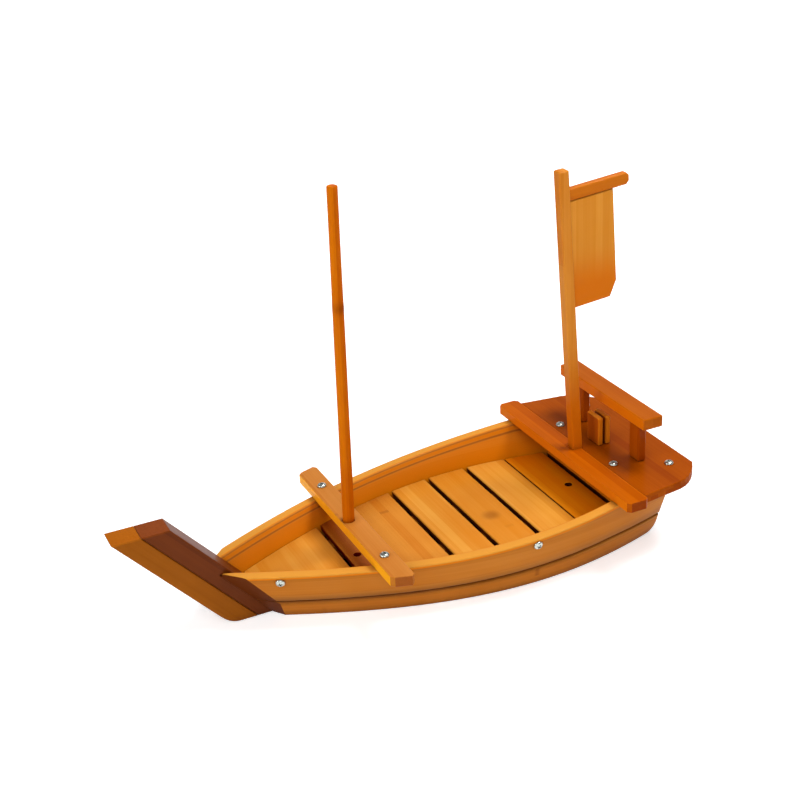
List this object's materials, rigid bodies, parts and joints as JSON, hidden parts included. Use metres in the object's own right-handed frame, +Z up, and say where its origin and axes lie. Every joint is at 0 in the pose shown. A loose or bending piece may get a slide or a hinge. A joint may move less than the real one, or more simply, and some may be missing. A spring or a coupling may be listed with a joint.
{
  "type": "sushi boat",
  "caption": "Bamboo serving boat with a raked stem, flared plank sides, slatted deck, thwarts, a stern gantry and masts that lift out, the after one with a board sail.",
  "frame": {"origin": "centre of the boat's box, at the underside", "axes": "+X forward to the bow, +Y to port, +Z up"},
  "size_m": [0.4, 0.18, 0.281],
  "materials": {
    "bamboo_caramel": "glossy lacquer over carbonised bamboo strips",
    "bamboo_pale": "glossy lacquer over pale bamboo strips",
    "bamboo_reddish": "glossy lacquer over reddish bamboo",
    "bamboo_dark": "glossy lacquer over dark carbonised bamboo",
    "screw_chrome": "polished domed screw heads"
  },
  "bodies": {
    "hull": {"aft_thwart": "bamboo_reddish", "bottom_board": "bamboo_caramel", "bow_panel": "bamboo_pale", "deck_front_board": "bamboo_pale", "deck_slat_1": "bamboo_pale", "deck_slat_2": "bamboo_pale", "deck_slat_3": "bamboo_pale", "deck_slat_4": "bamboo_pale", "deck_slat_aft": "bamboo_pale", "front_thwart": "bamboo_caramel", "front_thwart_screw_port": "screw_chrome", "front_thwart_screw_starboard": "screw_chrome", "gantry_bar": "bamboo_caramel", "gantry_post_port": "bamboo_caramel", "gantry_post_starboard": "bamboo_caramel", "port_bearer": "bamboo_caramel", "port_lower_strake": "bamboo_caramel", "port_side_screw_bow": "screw_chrome", "port_side_screw_waist": "screw_chrome", "port_upper_strake": "bamboo_caramel", "starboard_bearer": "bamboo_caramel", "starboard_lower_strake": "bamboo_caramel", "starboard_side_screw_bow": "screw_chrome", "starboard_side_screw_waist": "screw_chrome", "starboard_upper_strake": "bamboo_caramel", "stem_back_board": "bamboo_dark", "stem_front_strip": "bamboo_caramel", "stern_deck": "bamboo_reddish", "stern_deck_back_screw_port": "screw_chrome", "stern_deck_back_screw_starboard": "screw_chrome", "stern_deck_beam": "bamboo_caramel", "stern_deck_cleat": "bamboo_caramel", "stern_deck_front_screw_port": "screw_chrome", "stern_deck_front_screw_starboard": "screw_chrome", "stern_upright_back": "bamboo_caramel", "stern_upright_front": "bamboo_caramel", "transom": "bamboo_caramel"},
    "front_mast_set": {"front_mast": "bamboo_caramel"},
    "rear_mast_set": {"rear_mast": "bamboo_reddish", "sail_board": "bamboo_caramel", "sail_yard": "bamboo_caramel"}
  },
  "joints": [
    {"name": "front_mast_lift", "type": "slide", "parent": "hull", "child": "front_mast_set", "axis": [-0.0262, 0, 0.9997], "range_m": [0, 0.03]},
    {"name": "rear_mast_lift", "type": "slide", "parent": "hull", "child": "rear_mast_set", "axis": [0.0532, 0, 0.9986], "range_m": [0, 0.03]}
  ]
}
